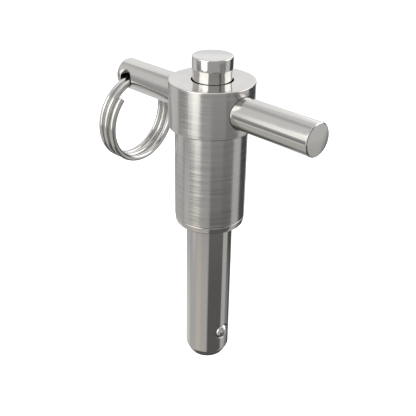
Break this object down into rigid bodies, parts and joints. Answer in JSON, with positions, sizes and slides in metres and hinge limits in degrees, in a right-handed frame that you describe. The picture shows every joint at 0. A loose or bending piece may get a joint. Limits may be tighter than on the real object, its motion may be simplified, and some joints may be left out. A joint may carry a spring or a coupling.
{
  "type": "quick release pin",
  "caption": "Stainless quick-release ball-lock pin with a T-handle, a push button and a split ring through the handle bar.",
  "frame": {"origin": "where the pin's axis meets the shoulder that seats on the receiving hole", "axes": "+Z along the pin towards the push button, +X along the handle bar away from the split ring"},
  "size_m": [0.068, 0.0258, 0.0915],
  "materials": {
    "stainless_turned": "fine turned",
    "stainless_ground": "ground satin",
    "stainless_polished": "polished",
    "hardened_steel": "bright ground",
    "spring_wire": "drawn, bright"
  },
  "bodies": {
    "handle": {"handle_body": "stainless_turned", "t_bar": "stainless_ground", "shank": "stainless_ground", "spring_seat": "spring_wire", "return_spring": "spring_wire"},
    "plunger": {"button": "stainless_polished", "button_pin": "hardened_steel", "spindle": "hardened_steel", "retaining_clip": "spring_wire", "spring_cap": "spring_wire"},
    "ball_right": {"lock_ball_right": "hardened_steel"},
    "ball_left": {"lock_ball_left": "hardened_steel"},
    "ring": {"split_ring": "spring_wire"}
  },
  "joints": [
    {"name": "button_press", "type": "slide", "parent": "handle", "child": "plunger", "axis": [0, 0, -1], "range_m": [0, 0.0032], "stiffness_N_per_m": 1200, "springref_m": -0.004, "deforming": ["return_spring"]},
    {"name": "ball_right_retract", "type": "slide", "parent": "handle", "child": "ball_right", "axis": [-1, 0, 0], "range_m": [0, 0.00116]},
    {"name": "ball_left_retract", "type": "slide", "parent": "handle", "child": "ball_left", "axis": [1, 0, 0], "range_m": [0, 0.00116]},
    {"name": "ring_swing", "type": "hinge", "parent": "handle", "child": "ring", "pos_m": [-0.02973, 0, 0.0332], "axis": [0, 1, 0], "range_deg": [-40, 235]}
  ],
  "couplings": [
    {"joint": "ball_right_retract", "follows": "button_press", "ratio": 0.35938},
    {"joint": "ball_left_retract", "follows": "button_press", "ratio": 0.35938}
  ]
}
